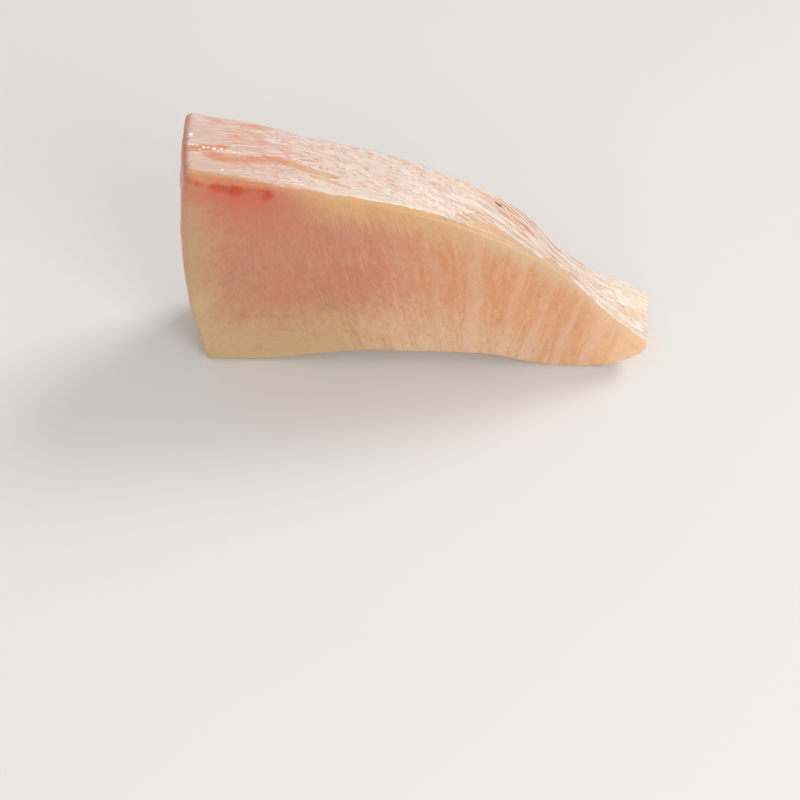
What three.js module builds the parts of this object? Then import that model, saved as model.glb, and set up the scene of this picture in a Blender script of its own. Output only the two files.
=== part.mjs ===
// Yellowtail belly sashimi: one thick slice, cut straight across the belly loin of the fish.
// It stands on the side that lined the belly cavity. The thick loin end is at -X and the thin belly flap
// at +X. The two knife faces look along -Y and +Y, and the side that the skin was pulled from is on top.
// Millimetres, +Z up, origin under the middle of the slice.
import * as THREE from "three";
import { mergeVertices } from "three/addons/utils/BufferGeometryUtils.js";

// Driving dimensions
const LENGTH = 71; // foot of the loin end to the tip of the flap, along the front knife face
const HEIGHT = 37.7; // foot to skin side, at the loin end
const THICKNESS = 14.6; // between the knife faces, at the loin end
const ROUNDING = new THREE.Vector3(1.3, 1.2, 1.1); // soft flesh never keeps a sharp knife edge

// How the outline runs from the loin end (share 0) to the tip of the flap (share 1).
// Heights are shares of HEIGHT, thicknesses are shares of THICKNESS.
const SKIN_LINE = [
  [0, 1], [0.13, 0.978], [0.285, 0.928], [0.42, 0.876], [0.525, 0.816], [0.64, 0.72],
  [0.745, 0.598], [0.82, 0.485], [0.875, 0.37], [0.94, 0.252], [1, 0.15],
];
const CAVITY_LINE = [
  [0, 0], [0.09, 0], [0.4, 0.075], [0.62, 0.066], [0.8, 0],
  [0.89, 0], [0.94, 0.033], [0.97, 0.066], [0.99, 0.1], [1, 0.13],
];
const SKIN_THICKNESS = [
  [0, 1.07], [0.05, 1.025], [0.12, 0.985], [0.25, 0.89], [0.37, 0.855],
  [0.53, 0.75], [0.69, 0.695], [0.78, 0.595], [0.83, 0.585], [0.91, 0.67], [1, 0.71],
];
const FOOT_THICKNESS = [[0, 0.97], [0.4, 0.9], [0.8, 0.8], [1, 0.75]];

// The skin side leans back where the slice thins, and is crowned across the slice.
const LEAN_BACK = [
  [0, 0], [0.5, 0.3], [0.64, 0.9], [0.72, 2.1], [0.765, 3.5], [0.81, 3.4], [0.86, 2.6], [0.93, 0.8], [1, 0],
];
const CROWN = 0.6;

// The knife ends of the slice, as seen from the front and from above
const LOIN_BULGE = 1.3; // how far the loin end swells outwards at half height
const LOIN_SWELL = 0.4; // how far its upper edge swells outwards between the two faces
const LOIN_TOP_SETBACK = 1.1; // how far its upper corner is drawn in
const LOIN_BACK_REACH = 1.5; // how much further out it reaches at the back
const FLAP_BACK_REACH = 1.7; // how much longer the flap is at the back
const FACE_BULGE = 0.35; // swell of each knife face
const FOOT_FLARE = 0.7; // how far the front face flares out at the foot

// Relief
const FIBRE_BANDS = 4.5; // bundles of skin fibre across the skin side
const FIBRE_DEPTH = 0.17;
const BARE_STRIP_DEPTH = 0.35; // where the silver skin came away with the outer skin
const BARE_STRIP_WIDTH = 0.085; // share of the thickness
const FLAKE_DEPTH = 0.16; // the muscle flakes of the flap, on the knife faces
const FLAKE_PITCH = 5.2;
const FLAKE_SLANT = 0.22; // how far a flake leans for each millimetre of height

// Facets along the length, the thickness and the height, and how much they crowd towards the edges
const FACETS = new THREE.Vector3(60, 18, 13);
const CROWDING = new THREE.Vector3(0.5, 0.35, 0.75);

const BLOCK = new THREE.Vector3(LENGTH, THICKNESS, HEIGHT);

const { lerp, smoothstep } = THREE.MathUtils;
const wave = (turns) => Math.sin(2 * Math.PI * turns);
const arch = (share) => Math.sin(Math.PI * THREE.MathUtils.clamp(share, 0, 1));
const bell = (offset) => Math.exp(-offset * offset);

// A smooth line through [share, value] points, which never swings past them between two points.
function through(points) {
  const steps = points.slice(1).map(([at, value], i) => (value - points[i][1]) / (at - points[i][0]));
  const slopes = points.map((_, i) => {
    const before = steps[Math.max(i - 1, 0)];
    const after = steps[Math.min(i, steps.length - 1)];
    return before * after <= 0 ? 0 : (2 * before * after) / (before + after);
  });
  return (share) => {
    const found = points.findIndex(([at]) => at > share);
    const i = found < 0 ? points.length - 2 : Math.max(found - 1, 0);
    const [from, low] = points[i];
    const [to, high] = points[i + 1];
    const span = to - from;
    const t = THREE.MathUtils.clamp((share - from) / span, 0, 1);
    const s = 1 - t;
    const lowEnd = low * (1 + 2 * t) + slopes[i] * span * t;
    const highEnd = high * (1 + 2 * s) - slopes[i + 1] * span * s;
    return lowEnd * s * s + highEnd * t * t;
  };
}

const skinLine = through(SKIN_LINE);
const cavityLine = through(CAVITY_LINE);
const skinThickness = through(SKIN_THICKNESS);
const footThickness = through(FOOT_THICKNESS);
const leanBack = through(LEAN_BACK);

// A point on the block's faces, moved onto the same block with rounded edges.
function rounded(point) {
  const core = point.clone().clamp(ROUNDING, BLOCK.clone().sub(ROUNDING));
  const outward = point.clone().sub(core).divide(ROUNDING).setLength(1);
  return core.add(outward.multiply(ROUNDING));
}

// The strip of bare, sunken flesh that runs along the skin side from the loin end.
function bareStrip(along, across) {
  const centre = 0.37 - 0.22 * smoothstep(along, 0.12, 0.42);
  const fade = 1 - smoothstep(along, 0.3, 0.42);
  return fade * bell((across - centre) / BARE_STRIP_WIDTH);
}

// Height of the skin side's relief: long bundles of fibre, and the bare strip between them.
function skinRelief(along, across) {
  const drift = 0.22 * wave(1.4 * along + 0.1) + 0.1 * wave(3.7 * along + 0.6);
  const bundles = wave(FIBRE_BANDS * across + drift) * (0.65 + 0.35 * wave(2.3 * along + 1.9 * across));
  const grown = smoothstep(along, 0.02, 0.3);
  return FIBRE_DEPTH * grown * bundles - BARE_STRIP_DEPTH * bareStrip(along, across);
}

// Relief of a knife face: the flakes of muscle, which show towards the flap.
function flakeRelief(along, height) {
  const slanted = (along * LENGTH - FLAKE_SLANT * height) / FLAKE_PITCH;
  return FLAKE_DEPTH * smoothstep(along, 0.3, 0.8) * wave(slanted + 0.12 * wave(slanted / 2.7));
}

// Where a point of the slice lies, from its shares along the length, across the thickness and up.
function inSlice(along, across, up) {
  const swell = LOIN_SWELL * arch(across) + LOIN_BACK_REACH * across;
  const loinEnd = LOIN_TOP_SETBACK * up ** 5 - LOIN_BULGE * arch(up ** 0.9) - swell * up;
  const flapEnd = LENGTH + FLAP_BACK_REACH * across ** 2;
  const x = lerp(loinEnd, flapEnd, along);

  const onSkin = smoothstep(up, 0.9, 1);
  const foot = HEIGHT * cavityLine(along);
  const top = HEIGHT * skinLine(along) - leanBack(along) * across + CROWN * arch(across);
  const z = lerp(foot, top, up) + onSkin * arch(across) ** 0.5 * skinRelief(along, across);

  const depth = THICKNESS * lerp(footThickness(along), skinThickness(along), up);
  const onFace = Math.abs(2 * across - 1) ** 6 * arch(up) ** 0.5;
  const outward = FACE_BULGE * arch(along) * arch(up) + flakeRelief(along, z) * onFace;
  const flare = FOOT_FLARE * (1 - across) * (1 - up) ** 2;
  const y = depth * across + outward * Math.sign(across - 0.5) * Math.abs(2 * across - 1) - flare;
  return new THREE.Vector3(x, y, z);
}

function sliceGeometry() {
  const box = new THREE.BoxGeometry(1, 1, 1, FACETS.x, FACETS.y, FACETS.z);
  const places = box.getAttribute("position");
  const point = new THREE.Vector3();
  for (let i = 0; i < places.count; i++) {
    point.fromBufferAttribute(places, i).addScalar(0.5);
    for (const axis of ["x", "y", "z"]) point[axis] -= (CROWDING[axis] * wave(point[axis])) / (2 * Math.PI);
    const share = rounded(point.multiply(BLOCK)).divide(BLOCK);
    places.setXYZ(i, ...inSlice(share.x, share.y, share.z));
  }
  box.deleteAttribute("normal");
  box.deleteAttribute("uv");
  const slice = mergeVertices(box, 1e-4);
  slice.computeBoundingBox();
  const centre = slice.boundingBox.getCenter(new THREE.Vector3());
  slice.translate(-centre.x, -centre.y, -slice.boundingBox.min.z);
  slice.computeVertexNormals();
  return slice;
}

const flesh = new THREE.MeshStandardMaterial({ color: 0xd9a27c, roughness: 0.38, metalness: 0 });

const bellySlice = new THREE.Mesh(sliceGeometry(), flesh);
bellySlice.name = "belly_slice";

const sashimi = new THREE.Group();
sashimi.add(bellySlice);

export default sashimi;
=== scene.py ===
"""Dresses the yellowtail belly slice: silver skin and bare strips above, flaking flesh on the knife faces."""

import itertools
import logging
import math
from collections.abc import Mapping, Sequence
from dataclasses import dataclass, field
from enum import Enum
from typing import Protocol

import bpy
import numpy as np
from mathutils import Matrix, Vector


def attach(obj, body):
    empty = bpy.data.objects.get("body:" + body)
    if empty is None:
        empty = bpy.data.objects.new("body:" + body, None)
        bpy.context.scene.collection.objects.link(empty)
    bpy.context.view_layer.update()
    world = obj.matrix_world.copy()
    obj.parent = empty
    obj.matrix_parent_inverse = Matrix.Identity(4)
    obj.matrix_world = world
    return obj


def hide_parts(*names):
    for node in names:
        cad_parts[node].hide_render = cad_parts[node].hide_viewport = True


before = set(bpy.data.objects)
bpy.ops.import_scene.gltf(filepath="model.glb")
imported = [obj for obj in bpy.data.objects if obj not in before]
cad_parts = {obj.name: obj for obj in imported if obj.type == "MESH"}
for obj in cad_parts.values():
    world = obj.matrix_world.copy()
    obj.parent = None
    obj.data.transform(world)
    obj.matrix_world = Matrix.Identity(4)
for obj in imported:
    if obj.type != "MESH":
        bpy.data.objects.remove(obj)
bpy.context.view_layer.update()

NODE = "belly_slice"
BODY = "root"
MM = 0.001
TINY = 1e-9
RIBBON_SIDES = 8
LOIN_END = 0.009

Span = tuple[float, float]
Stations = tuple[Span, ...]
Triple = tuple[float, float, float]
Colour = Triple
Loft = tuple[np.ndarray, list[tuple[int, ...]], np.ndarray]
Socket = bpy.types.NodeSocket
Settings = Mapping[str, object] | None
Inputs = Mapping[str | int, object] | None

log = logging.getLogger("belly_slice")


def ink(red: int, green: int, blue: int) -> Colour:
    """Turns a screen colour, 0 to 255 a channel, into linear light."""
    shares = (channel / 255 for channel in (red, green, blue))
    return tuple(s / 12.92 if s <= 0.04045 else ((s + 0.055) / 1.055) ** 2.4 for s in shares)


def smooth(value: np.ndarray, low: float, high: float) -> np.ndarray:
    """Eases from 0 where value is low to 1 where it is high."""
    share = np.clip((value - low) / (high - low), 0, 1)
    return share * share * (3 - 2 * share)


def arch(share: np.ndarray) -> np.ndarray:
    """Rises from 0 to 1 and falls back over a share of 0 to 1."""
    return np.sin(math.pi * np.clip(share, 0, 1))


def wave(turns: np.ndarray) -> np.ndarray:
    """Swings between -1 and 1 once a turn."""
    return np.sin(2 * math.pi * turns)


def bell(offset: np.ndarray) -> np.ndarray:
    """Peaks at 1 where the offset is 0."""
    return np.exp(-offset * offset)


def split(points: np.ndarray) -> np.ndarray:
    """Splits points into one array for each coordinate."""
    return np.moveaxis(points, -1, 0)


@dataclass(frozen=True)
class Curve:
    """A smooth line through stations, which never swings past them between two of them.

    Attributes:
        stations: Pairs of share and value, in order of share.
    """

    stations: Stations

    def at(self, share: np.ndarray) -> np.ndarray:
        """Reads the line.

        Args:
            share: Where to read it.

        Returns:
            The line's value at each share.
        """
        shares, values = (np.array(column, float) for column in zip(*self.stations))
        spans = np.diff(shares)
        steps = np.diff(values) / spans
        before, after = np.append(steps[:1], steps), np.append(steps, steps[-1:])
        turning = before * after <= 0
        slopes = np.where(turning, 0, 2 * before * after / np.where(turning, 1, before + after))
        i = np.clip(np.searchsorted(shares, share, side="right") - 1, 0, len(spans) - 1)
        t = np.clip((share - shares[i]) / spans[i], 0, 1)
        s = 1 - t
        low = values[i] * (1 + 2 * t) + slopes[i] * spans[i] * t
        high = values[i + 1] * (1 + 2 * s) - slopes[i + 1] * spans[i] * s
        return low * s * s + high * t * t


@dataclass(frozen=True)
class Unevenness:
    """Smooth random unevenness, the same on every run.

    A cell's key is stirred and wrapped on each axis, and what is left after its low bits are dropped
    picks the cell's random value.

    Attributes:
        seed: Picks one of many random fields.
        cells: How far apart its random values lie on each axis.
    """

    VALUES = 4096
    STIR = 73856093
    WRAP = 2147483647
    DROP = 7

    seed: int
    cells: tuple[float, ...]

    def at(self, *axes: np.ndarray) -> np.ndarray:
        """Reads the unevenness at points.

        Args:
            axes: An array of coordinates for each axis.

        Returns:
            Values from -1 to 1.
        """
        values = np.random.default_rng(self.seed).uniform(-1, 1, self.VALUES)
        axes = np.broadcast_arrays(*(axis / cell for axis, cell in zip(axes, self.cells)))
        cells = [np.floor(axis).astype(np.int64) for axis in axes]
        turns = [smooth(axis - cell, 0, 1) for axis, cell in zip(axes, cells)]
        total = np.zeros(axes[0].shape)
        for corner in itertools.product((0, 1), repeat=len(axes)):
            key = np.full(axes[0].shape, self.seed, np.int64)
            weight = np.ones(axes[0].shape)
            for step, cell, turn in zip(corner, cells, turns):
                key = (key ^ (cell + step)) * self.STIR % self.WRAP
                weight = weight * (turn if step else 1 - turn)
            total += weight * values[(key >> self.DROP) % self.VALUES]
        return total


@dataclass(frozen=True)
class SliceForm:
    """The slice's outline, from the same sizes as its solid. Lengths are in millimetres.

    A point is named by its shares along the length (loin end to flap), across the thickness (shown
    knife face to hidden one) and up the height (foot to skin side).
    """

    length: float = 71.0
    height: float = 37.7
    thickness: float = 14.6
    rounding: Triple = (1.3, 1.2, 1.1)
    skin_line: Curve = Curve((
        (0, 1), (0.13, 0.978), (0.285, 0.928), (0.42, 0.876), (0.525, 0.816), (0.64, 0.72),
        (0.745, 0.598), (0.82, 0.485), (0.875, 0.37), (0.94, 0.252), (1, 0.15),
    ))
    cavity_line: Curve = Curve((
        (0, 0), (0.09, 0), (0.4, 0.075), (0.62, 0.066), (0.8, 0),
        (0.89, 0), (0.94, 0.033), (0.97, 0.066), (0.99, 0.1), (1, 0.13),
    ))
    skin_thickness: Curve = Curve((
        (0, 1.07), (0.05, 1.025), (0.12, 0.985), (0.25, 0.89), (0.37, 0.855),
        (0.53, 0.75), (0.69, 0.695), (0.78, 0.595), (0.83, 0.585), (0.91, 0.67), (1, 0.71),
    ))
    foot_thickness: Curve = Curve(((0, 0.97), (0.4, 0.9), (0.8, 0.8), (1, 0.75)))
    lean_back: Curve = Curve((
        (0, 0), (0.5, 0.3), (0.64, 0.9), (0.72, 2.1), (0.765, 3.5),
        (0.81, 3.4), (0.86, 2.6), (0.93, 0.8), (1, 0),
    ))
    crown: float = 0.6
    loin_bulge: float = 1.3
    loin_swell: float = 0.4
    loin_top_setback: float = 1.1
    loin_back_reach: float = 1.5
    flap_back_reach: float = 1.7
    face_bulge: float = 0.35
    foot_flare: float = 0.7
    box_samples: int = 41

    def block(self) -> np.ndarray:
        """Returns the length, thickness and height of the block that the slice is shaped from."""
        return np.array((self.length, self.thickness, self.height))

    def rounded(self, shares: np.ndarray) -> np.ndarray:
        """Rounds the block's edges.

        Args:
            shares: Shares along, across and up, on the block's faces.

        Returns:
            The shares, moved to the rounded block.
        """
        block, radii = self.block(), np.array(self.rounding)
        points = shares * block
        core = np.clip(points, radii, block - radii)
        outward = (points - core) / radii
        outward /= np.maximum(np.linalg.norm(outward, axis=-1, keepdims=True), TINY)
        return (core + outward * radii) / block

    def place(self, shares: np.ndarray) -> np.ndarray:
        """Finds where points of the slice lie.

        Args:
            shares: Their shares along, across and up, in the last axis.

        Returns:
            Their places, from the foot of the loin end on the shown face.
        """
        along, across, up = split(shares)
        swell = self.loin_swell * arch(across) + self.loin_back_reach * across
        loin_end = self.loin_top_setback * up**5 - self.loin_bulge * arch(up**0.9) - swell * up
        flap_end = self.length + self.flap_back_reach * across**2
        x = loin_end + (flap_end - loin_end) * along
        foot = self.height * self.cavity_line.at(along)
        lean = self.lean_back.at(along) * across
        top = self.height * self.skin_line.at(along) - lean + self.crown * arch(across)
        z = foot + (top - foot) * up
        foot_depth, skin_depth = self.foot_thickness.at(along), self.skin_thickness.at(along)
        depth = self.thickness * (foot_depth + (skin_depth - foot_depth) * up)
        flare = self.foot_flare * (1 - across) * (1 - up) ** 2
        y = depth * across + self.face_bulge * arch(along) * arch(up) * (2 * across - 1) - flare
        return np.stack((x, y, z), -1)

    def origin(self) -> np.ndarray:
        """Finds the way to the frame's origin, under the middle of the slice's box.

        Returns:
            What to add to a place.
        """
        samples = np.array(list(itertools.product(np.linspace(0, 1, self.box_samples), repeat=3)))
        samples = samples[np.any((samples == 0) | (samples == 1), axis=1)]
        places = self.place(self.rounded(samples))
        low, high = places.min(0), places.max(0)
        return np.array((-(low[0] + high[0]) / 2, -(low[1] + high[1]) / 2, -low[2]))


@dataclass(frozen=True)
class Stain:
    """A soft-edged patch of another tone.

    Attributes:
        centre: Its shares along the slice, and across it or up it.
        reach: How far it reaches both ways.
        strength: How strong it is in the middle.
        slope: How far it climbs for each share along.
    """

    centre: Span
    reach: Span
    strength: float = 1.0
    slope: float = 0.0

    def cover(self, along: np.ndarray, other: np.ndarray) -> np.ndarray:
        """Measures the patch at points.

        Args:
            along: Their shares along.
            other: Their shares across, or up.

        Returns:
            How much of the patch shows.
        """
        ahead = along - self.centre[0]
        aside = other - self.centre[1] - self.slope * ahead
        return self.strength * bell(ahead / self.reach[0]) * bell(aside / self.reach[1])


@dataclass(frozen=True)
class Complexion:
    """Where blood, flushed flesh and milky skin lie.

    Attributes:
        blood: Spots of blood, by shares along and up.
        flush: Flushed flesh, by shares along and up.
        salmon: Salmon flesh that shows through the skin side, by shares along and across.
        milky: Milky skin, by shares along and across.
        drift: How the patches' edges wander along.
        drift_share: By what share of the length they do.
        ripple: How they wander across.
        ripple_share: By what share of the thickness they do.
        rise: How much of the wandering across they follow upwards.
        slant: How much nearer to the loin end they lie on the hidden knife face, as a share along.
        skin_start: Shares up between which the knife faces give way to the skin side.
    """

    blood: tuple[Stain, ...] = (
        Stain((0.066, 0.978), (0.013, 0.014), 1.5),
        Stain((0.101, 0.971), (0.019, 0.021), 1.7),
        Stain((0.163, 0.968), (0.0125, 0.022), 1.6),
        Stain((0.022, 0.989), (0.02, 0.012), 0.85),
        Stain((0.13, 0.98), (0.02, 0.01), 0.5),
    )
    flush: tuple[Stain, ...] = (
        Stain((0.113, 0.94), (0.08, 0.06), 0.85),
        Stain((0.15, 0.86), (0.1, 0.12), 0.5),
        Stain((0.03, 0.95), (0.035, 0.06), 0.4),
        Stain((0.2, 0.45), (0.035, 0.13), 0.22),
        Stain((0.33, 0.52), (0.045, 0.16), 0.25),
        Stain((0.4, 0.62), (0.03, 0.24), 0.25, -5),
    )
    salmon: tuple[Stain, ...] = (
        Stain((0.15, 0.64), (0.045, 0.03), 0.6),
        Stain((0.19, 0.585), (0.035, 0.02), 0.75, -0.4),
        Stain((0.12, 0.73), (0.05, 0.02), 0.35),
        Stain((0.06, 0.88), (0.024, 0.03), 1.3, -1),
        Stain((0.14, 0.91), (0.05, 0.03), 1.1, 0.6),
        Stain((0.075, 0.31), (0.06, 0.02), 0.6, -0.3),
        Stain((0.16, 0.35), (0.05, 0.02), 0.3),
        Stain((0.3, 0.65), (0.02, 0.04), 0.3, -2),
        Stain((0.425, 0.905), (0.03, 0.016), 1.1, -1.1),
        Stain((0.505, 0.93), (0.014, 0.012), 0.8, -1.5),
        Stain((0.685, 0.56), (0.035, 0.06), 1.1, -3.5),
        Stain((0.545, 0.25), (0.01, 0.03), 0.9),
        Stain((0.59, 0.38), (0.02, 0.04), 0.8, -2),
        Stain((0.6, 0.86), (0.04, 0.02), 0.9, -1.5),
        Stain((0.67, 0.78), (0.06, 0.03), 0.5, -2),
        Stain((0.76, 0.55), (0.04, 0.06), 0.4, -2),
        Stain((0.785, 0.1), (0.015, 0.12), 0.4),
        Stain((0.835, 0.08), (0.012, 0.035), 0.45),
        Stain((0.905, 0.06), (0.03, 0.06), 0.45),
        Stain((0.955, 0.31), (0.028, 0.08), 1.0, 2.5),
    )
    milky: tuple[Stain, ...] = (
        Stain((0.02, 0.66), (0.08, 0.2), 0.9),
        Stain((0.105, 0.5), (0.03, 0.045), 0.8),
        Stain((0.04, 0.22), (0.08, 0.09), 1.1),
        Stain((0.13, 0.26), (0.06, 0.08), 0.5),
        Stain((0.2, 0.27), (0.08, 0.06), 0.3),
        Stain((0.555, 0.13), (0.025, 0.04), 0.9),
    )
    drift: Unevenness = Unevenness(41, (1.1, 0.8, 1 / 34))
    drift_share: float = 0.007
    ripple: Unevenness = Unevenness(42, (2.1, 0.7, 1 / 45))
    ripple_share: float = 0.025
    rise: float = 0.3
    slant: float = 0.03
    skin_start: Span = (0.975, 0.998)

    def tones(self, form: SliceForm, shares: np.ndarray) -> np.ndarray:
        """Works out the tones.

        Args:
            form: The slice.
            shares: Shares along, across and up, in the last axis.

        Returns:
            Blood, flushed or salmon flesh, and milky skin, each from 0 to 1.
        """
        along, across, up = split(shares)
        s, t = along * form.length, across * form.thickness
        along = along + self.drift_share * self.drift.at(s, t, up)
        aside = self.ripple_share * self.ripple.at(s, t, up)
        on_skin = smooth(up, *self.skin_start)
        height, through, beside = up + self.rise * aside, along + self.slant * across, across + aside

        def total(stains: Sequence[Stain], first: np.ndarray, other: np.ndarray) -> np.ndarray:
            """Lays the patches of one tone together."""
            return np.clip(sum(stain.cover(first, other) for stain in stains), 0, 1)

        flushed = total(self.flush, through, height) * (1 - on_skin)
        flushed += total(self.salmon, along, beside) * on_skin
        milky = total(self.milky, along, beside) * on_skin
        return np.stack((total(self.blood, through, height), flushed, milky), -1)


@dataclass(frozen=True)
class BareStrip:
    """A strip where the silver skin came away and sunken flesh shows.

    Attributes:
        centre: Share across, by share along.
        half_width: Half of its width in millimetres, by share along. Below zero it has closed.
    """

    centre: Curve
    half_width: Curve

    def inside(self, along: np.ndarray, across: np.ndarray, thickness: float) -> np.ndarray:
        """Returns how far inside the strip a point lies, in millimetres."""
        offset = np.abs(across - self.centre.at(along)) * thickness
        return self.half_width.at(along) - offset


@dataclass(frozen=True)
class SilverSkin:
    """The thin fibrous skin that is left on the top of the slice, and where it is torn.

    Attributes:
        front_edge: Share across of its edge near the shown knife face, by share along.
        back_edge: The same near the hidden knife face.
        softness: How gently its front edge fades, by share along.
        strips: Where it came away inside its edges.
        crossing: How far the fibres have crossed the slice, in millimetres, by share along.
        raggedness: How far its front edge wanders, in millimetres, by share along.
        front_finer: How much of the finer unevenness that wandering has.
        back_uneven: How far its back edge follows the coarse and the fine unevenness, in millimetres.
        torn_uneven: How far the strips' edges follow them, in millimetres.
        end_uneven: How far its edge at the loin end follows the fine one, in millimetres.
        bare_depth: How deep the bare flesh lies under it, in millimetres.
        edge: Millimetres from its edge between which it gives way to bare flesh.
        lip: Where the curled lip of the edge lies and how wide it is, in millimetres.
        lip_height: Height of that lip in millimetres.
        strand_height: Height of its strands in millimetres.
        thread_height: Height of its threads in millimetres.
        bundle_height: Height of its bundles of strands in millimetres.
        bundles: How many bundles lie side by side.
        bundle_sway: Size in turns, times along and starting turn of each of the bundles' swings.
        bundle_swell: Level and size of the bundles' swelling, and its times along and across.
        growth: How far the fibres stand out at the loin end, and what the next two stretches add.
        first_growth: Shares along between which they grow first.
        second_growth: Shares along between which they grow again.
        bare_share: How much of the fibres shows on bare flesh.
        tangle: How far the threads wander near the flap's end, in millimetres.
        tangle_start: Shares along between which that sets in.
        coarse: Where its torn edges wander.
        fine: Where they fray.
        strands: Where its strands stand up.
        threads: Where its threads stand up.
        tangled: Where its threads wander near the flap's end.
    """

    front_edge: Curve = Curve((
        (0, 0.16), (0.05, 0.145), (0.12, 0.11), (0.2, 0.075), (0.25, 0.08), (0.27, 0.07), (0.46, 0.07),
        (0.5, 0.09), (0.53, 0.11), (0.545, 0.2), (0.57, 0.3), (0.6, 0.36), (0.63, 0.28), (0.66, 0.2),
        (0.69, 0.11), (0.715, 0.06), (0.735, 0.15), (0.755, 0.26), (0.775, 0.18), (0.8, 0.05),
        (0.83, 0), (0.9, -0.02), (1, -0.02),
    ))
    back_edge: Curve = Curve((
        (0, 1.02), (0.09, 1.0), (0.13, 0.96), (0.2, 0.96), (0.24, 0.99), (0.5, 0.99), (0.6, 0.95),
        (0.7, 0.97), (1, 1),
    ))
    softness: Curve = Curve(((0, 2.2), (0.17, 2), (0.26, 1.2), (0.36, 1), (1, 1)))
    strips: tuple[BareStrip, ...] = (
        BareStrip(
            Curve((
                (0.03, 0.36), (0.06, 0.335), (0.09, 0.33), (0.12, 0.345), (0.15, 0.38), (0.175, 0.405),
                (0.21, 0.395), (0.25, 0.355), (0.29, 0.325), (0.32, 0.31),
            )),
            Curve((
                (0.02, -0.4), (0.045, 0.3), (0.07, 0.8), (0.1, 0.8), (0.13, 0.75), (0.17, 0.85), (0.22, 0.6),
                (0.25, 0.6), (0.285, 0.7), (0.3, 0.35), (0.315, -0.5),
            )),
        ),
        BareStrip(
            Curve(((0, 0.415), (0.02, 0.42), (0.06, 0.465), (0.1, 0.49))),
            Curve(((0, 0.8), (0.03, 0.7), (0.06, 0.5), (0.085, 0.3), (0.105, -0.5))),
        ),
        BareStrip(
            Curve(((0.24, 0.29), (0.28, 0.25), (0.31, 0.21), (0.34, 0.165))),
            Curve(((0.235, -0.8), (0.25, 0.3), (0.27, 0.2), (0.3, 0.25), (0.325, 0.35), (0.34, -0.7))),
        ),
    )
    crossing: Curve = Curve(((0, 0), (0.2, 0), (0.35, 2.0), (0.56, 8.3), (0.8, 16.8), (1, 20.3)))
    raggedness: Curve = Curve((
        (0, 0.3), (0.24, 0.2), (0.45, 0.12), (0.54, 0.8), (0.68, 0.8), (0.8, 0.4), (1, 0.3),
    ))
    front_finer: float = 0.5
    back_uneven: Span = (0.3, 0.2)
    torn_uneven: Span = (0.3, 0.25)
    end_uneven: float = 0.2
    bare_depth: float = 0.08
    edge: Span = (-0.25, 0.2)
    lip: Span = (-0.16, 0.12)
    lip_height: float = 0.02
    strand_height: float = 0.1
    thread_height: float = 0.06
    bundle_height: float = 0.1
    bundles: float = 4.5
    bundle_sway: tuple[Triple, ...] = ((0.22, 1.4, 0.1), (0.1, 3.7, 0.6))
    bundle_swell: tuple[float, float, float, float] = (0.65, 0.35, 2.3, 1.9)
    growth: Triple = (0.3, 0.25, 0.7)
    first_growth: Span = (0.08, 0.3)
    second_growth: Span = (0.5, 0.75)
    bare_share: float = 0.35
    tangle: float = 0.3
    tangle_start: Span = (0.8, 0.92)
    coarse: Unevenness = Unevenness(11, (4.2, 0.75))
    fine: Unevenness = Unevenness(12, (1.3, 0.36))
    strands: Unevenness = Unevenness(21, (6, 0.65))
    threads: Unevenness = Unevenness(22, (2.6, 0.4))
    tangled: Unevenness = Unevenness(51, (1.5, 1.8))

    def fibre(self, form: SliceForm, shares: np.ndarray) -> np.ndarray:
        """Lays coordinates along the fibres.

        Args:
            form: The slice.
            shares: Shares along, across and up, in the last axis.

        Returns:
            Millimetres along the slice, across the fibres and across the slice.
        """
        along, across, _ = split(shares)
        s, t = along * form.length, across * form.thickness
        strayed = self.tangle * smooth(along, *self.tangle_start) * self.tangled.at(s, t)
        return np.stack((s, t + self.crossing.at(along) + strayed, t), -1)

    def bareness(self, form: SliceForm, shares: np.ndarray) -> np.ndarray:
        """Measures how far a point lies from the silver skin's edge.

        Args:
            form: The slice.
            shares: Shares along, across and up, in the last axis.

        Returns:
            Millimetres, above zero where the flesh is bare.
        """
        along, across, _ = split(shares)
        s, q, _ = split(self.fibre(form, shares))
        coarse, fine = self.coarse.at(s, q), self.fine.at(s, q)
        uneven = self.raggedness.at(along) * (coarse + self.front_finer * fine)
        front = ((self.front_edge.at(along) - across) * form.thickness + uneven) / self.softness.at(along)
        back = (across - self.back_edge.at(along)) * form.thickness
        back = back + self.back_uneven[0] * coarse + self.back_uneven[1] * fine
        loin = (LOIN_END - along) * form.length + self.end_uneven * fine
        torn = self.torn_uneven[0] * coarse + self.torn_uneven[1] * fine
        strips = [strip.inside(along, across, form.thickness) + torn for strip in self.strips]
        return np.max([front, back, loin, *strips], axis=0)

    def relief(self, form: SliceForm, shares: np.ndarray) -> np.ndarray:
        """Works out how far the top stands above the smooth outline.

        Args:
            form: The slice.
            shares: Shares along, across and up, in the last axis.

        Returns:
            Millimetres.
        """
        along, across, _ = split(shares)
        s, q, _ = split(self.fibre(form, shares))
        drift = sum(size * wave(times * along + start) for size, times, start in self.bundle_sway)
        level, size, times_along, times_across = self.bundle_swell
        swell = level + size * wave(times_along * along + times_across * across)
        start, first, second = self.growth
        grown = start + first * smooth(along, *self.first_growth)
        grown = grown + second * smooth(along, *self.second_growth)
        bundles = self.bundle_height * grown * wave(self.bundles * across + drift) * swell
        strands = self.strand_height * self.strands.at(s, q)
        threads = self.thread_height * self.threads.at(s, q)
        bare = self.bareness(form, shares)
        covered = 1 - smooth(bare, *self.edge)
        lip = self.lip_height * bell((bare - self.lip[0]) / self.lip[1])
        fibrous = (strands + threads) * grown * (self.bare_share + (1 - self.bare_share) * covered)
        return bundles + fibrous + lip - self.bare_depth * (1 - covered)


class Operation(Enum):
    """What a Math or Vector Math node does with its two inputs."""

    ADD = "ADD"
    SUBTRACT = "SUBTRACT"
    MULTIPLY = "MULTIPLY"


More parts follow.
